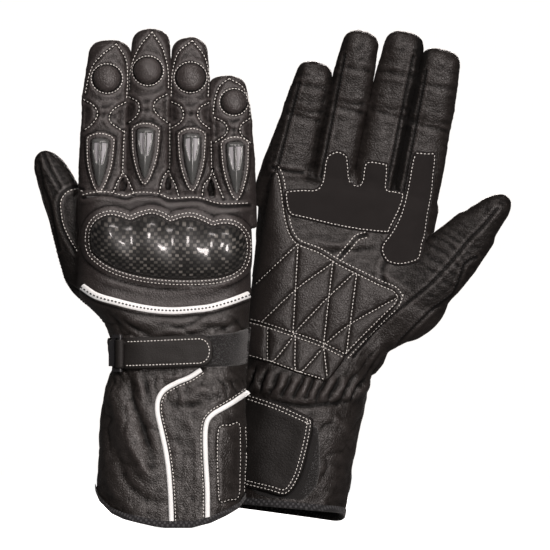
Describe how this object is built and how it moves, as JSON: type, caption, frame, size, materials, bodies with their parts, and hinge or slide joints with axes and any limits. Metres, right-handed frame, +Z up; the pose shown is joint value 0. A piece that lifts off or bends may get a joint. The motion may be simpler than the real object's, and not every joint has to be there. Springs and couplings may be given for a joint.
{
  "type": "motorcycle riding gloves",
  "caption": "Long-cuff leather riding gloves with armoured knuckles, finger sliders, wrist strap and closing cuff flap, standing on their cuffs.",
  "frame": {"origin": "centre of glove_a's cuff mouth, at the level its hem stands on", "axes": "+Z up from the cuff to the fingertips; -Y out of the back of glove_a's hand; +X to glove_a's little-finger side and to glove_b"},
  "size_m": [0.2965, 0.1751, 0.3093],
  "materials": {
    "hand_leather": "fine-grained matt charcoal leather",
    "palm_leather": "pebbled black leather with a low sheen",
    "cuff_leather": "grained black leather, creased",
    "suede": "short-napped suede",
    "guard_bed": "padded leather bed with a double row of stitching",
    "carbon_shell": "twill carbon weave under clear coat",
    "slider_plastic": "moulded polyurethane, satin with glossy windows",
    "reflective_piping": "pale reflective piping",
    "hook_loop": "woven hook-and-loop tape",
    "strap_leather": "smooth black leather, stitched edge",
    "ring_plastic": "black acetal",
    "hem_binding": "woven lining folded over the edge"
  },
  "bodies": {
    "glove_a_cuff": {"glove_a_cuff_back": "cuff_leather", "glove_a_cuff_palm": "cuff_leather", "glove_a_cuff_piping": "reflective_piping", "glove_a_cuff_hem": "hem_binding", "glove_a_wrist_loop_patch": "hook_loop", "glove_a_cuff_loop_patch": "hook_loop", "glove_a_strap_ring": "ring_plastic"},
    "glove_a_hand": {"glove_a_hand_back": "hand_leather", "glove_a_hand_palm": "palm_leather", "glove_a_knuckle_guard": "carbon_shell", "glove_a_knuckle_pad": "guard_bed", "glove_a_grip_patch": "suede", "glove_a_heel_pad": "palm_leather", "glove_a_hand_piping": "reflective_piping"},
    "glove_a_strap": {"glove_a_wrist_strap": "strap_leather"},
    "glove_a_flap": {"glove_a_cuff_flap": "palm_leather"},
    "glove_a_index_base": {"glove_a_index_base": "hand_leather", "glove_a_index_slider": "slider_plastic"},
    "glove_a_index_tip": {"glove_a_index_tip": "hand_leather"},
    "glove_a_middle_base": {"glove_a_middle_base": "hand_leather", "glove_a_middle_slider": "slider_plastic"},
    "glove_a_middle_tip": {"glove_a_middle_tip": "hand_leather"},
    "glove_a_ring_base": {"glove_a_ring_base": "hand_leather", "glove_a_ring_slider": "slider_plastic"},
    "glove_a_ring_tip": {"glove_a_ring_tip": "hand_leather"},
    "glove_a_little_base": {"glove_a_little_base": "hand_leather", "glove_a_little_slider": "slider_plastic"},
    "glove_a_little_tip": {"glove_a_little_tip": "hand_leather"},
    "glove_a_thumb_base": {"glove_a_thumb_base": "hand_leather"},
    "glove_a_thumb_tip": {"glove_a_thumb_tip": "hand_leather"},
    "glove_b_cuff": {"glove_b_cuff_back": "cuff_leather", "glove_b_cuff_palm": "cuff_leather", "glove_b_cuff_piping": "reflective_piping", "glove_b_cuff_hem": "hem_binding", "glove_b_wrist_loop_patch": "hook_loop", "glove_b_cuff_loop_patch": "hook_loop", "glove_b_strap_ring": "ring_plastic"},
    "glove_b_hand": {"glove_b_hand_back": "hand_leather", "glove_b_hand_palm": "palm_leather", "glove_b_knuckle_guard": "carbon_shell", "glove_b_knuckle_pad": "guard_bed", "glove_b_grip_patch": "suede", "glove_b_heel_pad": "palm_leather", "glove_b_hand_piping": "reflective_piping"},
    "glove_b_strap": {"glove_b_wrist_strap": "strap_leather"},
    "glove_b_flap": {"glove_b_cuff_flap": "palm_leather"},
    "glove_b_index_base": {"glove_b_index_base": "hand_leather", "glove_b_index_slider": "slider_plastic"},
    "glove_b_index_tip": {"glove_b_index_tip": "hand_leather"},
    "glove_b_middle_base": {"glove_b_middle_base": "hand_leather", "glove_b_middle_slider": "slider_plastic"},
    "glove_b_middle_tip": {"glove_b_middle_tip": "hand_leather"},
    "glove_b_ring_base": {"glove_b_ring_base": "hand_leather", "glove_b_ring_slider": "slider_plastic"},
    "glove_b_ring_tip": {"glove_b_ring_tip": "hand_leather"},
    "glove_b_little_base": {"glove_b_little_base": "hand_leather", "glove_b_little_slider": "slider_plastic"},
    "glove_b_little_tip": {"glove_b_little_tip": "hand_leather"},
    "glove_b_thumb_base": {"glove_b_thumb_base": "hand_leather"},
    "glove_b_thumb_tip": {"glove_b_thumb_tip": "hand_leather"}
  },
  "joints": [
    {"name": "glove_a_wrist_bend", "type": "hinge", "parent": "glove_a_cuff", "child": "glove_a_hand", "pos_m": [0, 0, 0.126], "axis": [-1, 0, 0], "range_deg": [-20, 30]},
    {"name": "glove_a_strap_peel", "type": "hinge", "parent": "glove_a_cuff", "child": "glove_a_strap", "pos_m": [-0.032, -0.0213, 0.10775], "axis": [0, 0, -1], "range_deg": [0, 110]},
    {"name": "glove_a_flap_open", "type": "hinge", "parent": "glove_a_cuff", "child": "glove_a_flap", "pos_m": [0.0432, 0.0174, 0.04], "axis": [0, 0, -1], "range_deg": [0, 100]},
    {"name": "glove_a_index_knuckle", "type": "hinge", "parent": "glove_a_hand", "child": "glove_a_index_base", "pos_m": [-0.0436, 0.0005, 0.203], "axis": [-1, 0, 0], "range_deg": [-5, 48]},
    {"name": "glove_a_index_middle", "type": "hinge", "parent": "glove_a_index_base", "child": "glove_a_index_tip", "pos_m": [-0.04175, 0.00327, 0.25589], "axis": [-1, 0, 0], "range_deg": [0, 80]},
    {"name": "glove_a_middle_knuckle", "type": "hinge", "parent": "glove_a_hand", "child": "glove_a_middle_base", "pos_m": [-0.0153, 0.0005, 0.204], "axis": [-1, 0, 0], "range_deg": [-5, 75]},
    {"name": "glove_a_middle_middle", "type": "hinge", "parent": "glove_a_middle_base", "child": "glove_a_middle_tip", "pos_m": [-0.01396, 0.00338, 0.25891], "axis": [-1, 0, 0], "range_deg": [0, 80]},
    {"name": "glove_a_ring_knuckle", "type": "hinge", "parent": "glove_a_hand", "child": "glove_a_ring_base", "pos_m": [0.0117, 0.0005, 0.203], "axis": [-1, 0, 0], "range_deg": [-5, 75]},
    {"name": "glove_a_ring_middle", "type": "hinge", "parent": "glove_a_ring_base", "child": "glove_a_ring_tip", "pos_m": [0.01123, 0.00333, 0.25692], "axis": [-1, 0, 0], "range_deg": [0, 80]},
    {"name": "glove_a_little_knuckle", "type": "hinge", "parent": "glove_a_hand", "child": "glove_a_little_base", "pos_m": [0.0382, 0.0005, 0.201], "axis": [-1, 0, 0], "range_deg": [-5, 75]},
    {"name": "glove_a_little_middle", "type": "hinge", "parent": "glove_a_little_base", "child": "glove_a_little_tip", "pos_m": [0.03668, 0.00291, 0.24691], "axis": [-1, 0, 0], "range_deg": [0, 80]},
    {"name": "glove_a_thumb_root", "type": "hinge", "parent": "glove_a_hand", "child": "glove_a_thumb_base", "pos_m": [-0.052, 0.0115, 0.157], "axis": [-1, 0, 0], "range_deg": [0, 20]},
    {"name": "glove_a_thumb_middle", "type": "hinge", "parent": "glove_a_thumb_base", "child": "glove_a_thumb_tip", "pos_m": [-0.06534, 0.0129, 0.19468], "axis": [-0.9426, 0, -0.3338], "range_deg": [0, 60]},
    {"name": "glove_b_set_apart", "type": "slide", "parent": "glove_a_cuff", "child": "glove_b_cuff", "axis": [1, 0, 0], "range_m": [0, 0.25]},
    {"name": "glove_b_wrist_bend", "type": "hinge", "parent": "glove_b_cuff", "child": "glove_b_hand", "pos_m": [0.09464, 0.105, 0.13068], "axis": [0.9816, 0, -0.1908], "range_deg": [-20, 30]},
    {"name": "glove_b_strap_peel", "type": "hinge", "parent": "glove_b_cuff", "child": "glove_b_strap", "pos_m": [0.12257, 0.1263, 0.10666], "axis": [-0.1908, 0, -0.9816], "range_deg": [0, 110]},
    {"name": "glove_b_flap_open", "type": "hinge", "parent": "glove_b_cuff", "child": "glove_b_flap", "pos_m": [0.03583, 0.0876, 0.05451], "axis": [-0.1908, 0, -0.9816], "range_deg": [0, 100]},
    {"name": "glove_b_index_knuckle", "type": "hinge", "parent": "glove_b_hand", "child": "glove_b_index_base", "pos_m": [0.15056, 0.1045, 0.19826], "axis": [0.9816, 0, -0.1908], "range_deg": [-5, 75]},
    {"name": "glove_b_index_middle", "type": "hinge", "parent": "glove_b_index_base", "child": "glove_b_index_tip", "pos_m": [0.16048, 0.10173, 0.25025], "axis": [0.9816, 0, -0.1908], "range_deg": [0, 80]},
    {"name": "glove_b_middle_knuckle", "type": "hinge", "parent": "glove_b_hand", "child": "glove_b_middle_base", "pos_m": [0.12405, 0.1045, 0.20443], "axis": [0.9816, 0, -0.1908], "range_deg": [-5, 75]},
    {"name": "glove_b_middle_middle", "type": "hinge", "parent": "glove_b_middle_base", "child": "glove_b_middle_tip", "pos_m": [0.13491, 0.10162, 0.25827], "axis": [0.9816, 0, -0.1908], "range_deg": [0, 80]},
    {"name": "glove_b_ring_knuckle", "type": "hinge", "parent": "glove_b_hand", "child": "glove_b_ring_base", "pos_m": [0.09814, 0.1045, 0.20845], "axis": [0.9816, 0, -0.1908], "range_deg": [-5, 75]},
    {"name": "glove_b_ring_middle", "type": "hinge", "parent": "glove_b_ring_base", "child": "glove_b_ring_tip", "pos_m": [0.10843, 0.10167, 0.26138], "axis": [0.9816, 0, -0.1908], "range_deg": [0, 80]},
    {"name": "glove_b_little_knuckle", "type": "hinge", "parent": "glove_b_hand", "child": "glove_b_little_base", "pos_m": [0.06988, 0.1045, 0.2119], "axis": [0.9816, 0, -0.1908], "range_deg": [-5, 75]},
    {"name": "glove_b_little_middle", "type": "hinge", "parent": "glove_b_little_base", "child": "glove_b_little_tip", "pos_m": [0.08146, 0.10209, 0.25635], "axis": [0.9816, 0, -0.1908], "range_deg": [0, 80]},
    {"name": "glove_b_thumb_root", "type": "hinge", "parent": "glove_b_hand", "child": "glove_b_thumb_base", "pos_m": [0.15651, 0.0935, 0.15024], "axis": [0.9816, 0, -0.1908], "range_deg": [0, 20]},
    {"name": "glove_b_thumb_middle", "type": "hinge", "parent": "glove_b_thumb_base", "child": "glove_b_thumb_tip", "pos_m": [0.18167, 0.09217, 0.17868], "axis": [0.749, 0, -0.6626], "range_deg": [0, 60]}
  ]
}
